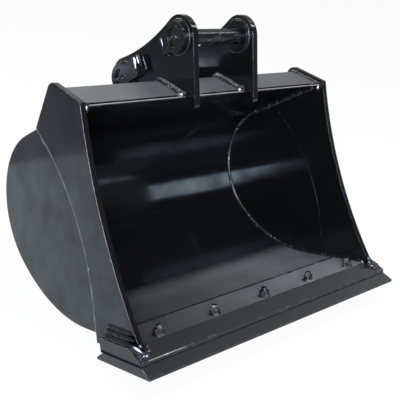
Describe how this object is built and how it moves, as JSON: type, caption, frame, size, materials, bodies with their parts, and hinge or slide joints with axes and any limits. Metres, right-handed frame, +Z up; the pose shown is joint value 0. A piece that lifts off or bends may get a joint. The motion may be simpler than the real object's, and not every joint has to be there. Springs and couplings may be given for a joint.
{
  "type": "excavator bucket",
  "caption": "Welded ditch-cleaning excavator bucket with a rolled shell, a torque box between horned cheeks, a double-bevelled bolt-on edge and two ears with slide-out hinge pins.",
  "frame": {"origin": "middle of the front hinge pin's shank, on the bucket's plane of symmetry", "axes": "+X across the bucket along the hinge pins, from the pins' heads to their retainers; the mouth faces -Y; +Z up with the bucket lying on its edge's heel and its belly"},
  "size_m": [0.9, 0.7181, 0.7498],
  "materials": {
    "gloss_enamel": "gloss black enamel with orange peel over rolled plate",
    "edge_enamel": "satin black enamel, lightly dusty, over hot-rolled edge steel",
    "pin_enamel": "thin black enamel over turned steel, scuffed along the shank",
    "fastener_enamel": "gloss black enamel over forged and threaded steel",
    "weld_enamel": "gloss black enamel over rippled weld beads"
  },
  "bodies": {
    "bucket": {"wrapper": "gloss_enamel", "torque_box_plate": "gloss_enamel", "left_cheek_plate": "gloss_enamel", "right_cheek_plate": "gloss_enamel", "left_side_plate": "gloss_enamel", "right_side_plate": "gloss_enamel", "left_ear": "gloss_enamel", "right_ear": "gloss_enamel", "left_front_boss": "gloss_enamel", "right_front_boss": "gloss_enamel", "left_rear_boss": "gloss_enamel", "right_rear_boss": "gloss_enamel", "front_pin_stop": "gloss_enamel", "rear_pin_stop": "gloss_enamel", "lip_plate": "edge_enamel", "bolt_on_edge": "edge_enamel", "plow_bolts": "fastener_enamel", "edge_washers": "fastener_enamel", "edge_nuts": "fastener_enamel", "left_seam_weld": "weld_enamel", "right_seam_weld": "weld_enamel", "left_inner_weld": "weld_enamel", "right_inner_weld": "weld_enamel", "ear_welds": "weld_enamel", "lip_end_welds": "weld_enamel"},
    "front_pin": {"front_pin": "pin_enamel", "front_grease_nipple": "fastener_enamel"},
    "rear_pin": {"rear_pin": "pin_enamel", "rear_grease_nipple": "fastener_enamel"},
    "front_retainer": {"front_retainer_plate": "gloss_enamel", "front_retainer_bolt": "fastener_enamel"},
    "rear_retainer": {"rear_retainer_plate": "gloss_enamel", "rear_retainer_bolt": "fastener_enamel"}
  },
  "joints": [
    {"name": "front_pin_out", "type": "slide", "parent": "bucket", "child": "front_pin", "axis": [-1, 0, 0], "range_m": [0, 0.46]},
    {"name": "front_retainer_off", "type": "slide", "parent": "bucket", "child": "front_retainer", "axis": [1, 0, 0], "range_m": [0, 0.12]},
    {"name": "rear_pin_out", "type": "slide", "parent": "bucket", "child": "rear_pin", "axis": [-1, 0, 0], "range_m": [0, 0.46]},
    {"name": "rear_retainer_off", "type": "slide", "parent": "bucket", "child": "rear_retainer", "axis": [1, 0, 0], "range_m": [0, 0.12]}
  ]
}
